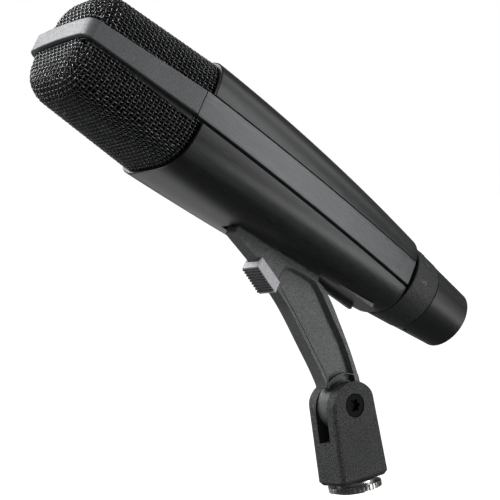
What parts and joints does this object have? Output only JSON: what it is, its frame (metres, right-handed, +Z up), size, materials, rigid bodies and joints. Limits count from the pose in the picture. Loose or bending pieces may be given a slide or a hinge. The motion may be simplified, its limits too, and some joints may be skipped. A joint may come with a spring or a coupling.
{
  "type": "dynamic microphone",
  "caption": "Large dynamic broadcast microphone with mesh head and bass roll-off ring, held on a tilting quick-release clip for a threaded stand.",
  "frame": {"origin": "on the stand axis, at the mouth of the stand thread, which is the bottom face of the clip's thread insert", "axes": "+Z up the stand axis, microphone head towards -X and tail connector towards +X, tilt axis along Y"},
  "size_m": [0.1832, 0.0504, 0.2046],
  "materials": {
    "case_coat": "satin charcoal with fine lengthwise brushing",
    "rail_finish": "satin grey, brushed lengthwise",
    "bridge_coat": "fine sand-textured grey",
    "frame_black": "matte black",
    "mesh_wire": "gloss black enamelled woven wire",
    "foam": "open-cell black foam",
    "capsule_metal": "turned",
    "film": "thin clear film",
    "copper_winding": "enamelled copper wire",
    "magnet_steel": "plated steel",
    "felt": "grey felt",
    "rubber": "soft black rubber",
    "inner_plastic": "moulded black plastic",
    "board": "green laminate",
    "lead_insulation": "red insulation",
    "turned_brass": "turned",
    "barrel_coat": "smooth satin charcoal",
    "insert_plastic": "moulded black",
    "contact_metal": "silver-plated",
    "black_screw": "black oxide",
    "spring_steel": "bright",
    "ring_plastic": "fine stippled black",
    "mark_paint": "worn grey paint",
    "arm_plastic": "coarse stippled dark grey",
    "button_plastic": "smooth light grey",
    "bolt_steel": "dark",
    "base_plastic": "coarse sand-textured charcoal",
    "thread_metal": "plated, knurled"
  },
  "bodies": {
    "stand_base": {"swivel_base": "base_plastic", "pivot_screw": "black_screw", "pivot_nut": "spring_steel", "thread_insert": "thread_metal", "seat_washer": "spring_steel"},
    "clip": {"clip_arm": "arm_plastic", "latch_spring": "spring_steel"},
    "latch": {"latch_button": "button_plastic", "latch_bolt": "bolt_steel"},
    "rolloff": {"rolloff_ring": "ring_plastic", "ring_pointer": "mark_paint", "switch_rotor": "inner_plastic", "drive_pin": "contact_metal"},
    "microphone": {"acoustic_felt": "felt", "basket_frame": "frame_black", "bass_tube": "inner_plastic", "board_bracket": "inner_plastic", "capsule_cap": "capsule_metal", "capsule_housing": "capsule_metal", "chassis_frame": "rail_finish", "clip_rail": "bolt_steel", "connector_barrel": "barrel_coat", "connector_insert": "insert_plastic", "connector_pins": "contact_metal", "detent_ball": "spring_steel", "detent_spring": "spring_steel", "diaphragm": "film", "filter_board": "board", "filter_capacitors": "inner_plastic", "filter_choke": "copper_winding", "filter_resistors": "lead_insulation", "foam_liner": "foam", "front_suspension": "rubber", "grille_bridge": "bridge_coat", "humbucking_coil": "copper_winding", "insert_screw": "black_screw", "internal_leads": "lead_insulation", "lower_housing_shell": "case_coat", "lower_mesh_basket": "mesh_wire", "magnet": "magnet_steel", "magnet_cup": "magnet_steel", "pole_piece": "magnet_steel", "rear_suspension": "rubber", "switch_wafer": "inner_plastic", "tail_nut": "turned_brass", "top_plate": "magnet_steel", "upper_housing_shell": "case_coat", "upper_mesh_basket": "mesh_wire", "voice_coil": "copper_winding"}
  },
  "joints": [
    {"name": "tilt", "type": "hinge", "parent": "stand_base", "child": "clip", "pos_m": [0, 0, 0.035], "axis": [0, 1, 0], "range_deg": [-65, 100]},
    {"name": "latch_pull", "type": "slide", "parent": "clip", "child": "latch", "axis": [0.481, 0, -0.8767], "range_m": [0, 0.004], "stiffness_N_per_m": 500, "springref_m": -0.004, "deforming": ["latch_spring"]},
    {"name": "mic_release", "type": "slide", "parent": "clip", "child": "microphone", "axis": [-0.7793, 0, 0.6266], "range_m": [0, 0.075]},
    {"name": "rolloff_turn", "type": "hinge", "parent": "microphone", "child": "rolloff", "pos_m": [0.04176, 0, 0.07695], "axis": [0.7793, 0, -0.6266], "range_deg": [0, 120]}
  ]
}
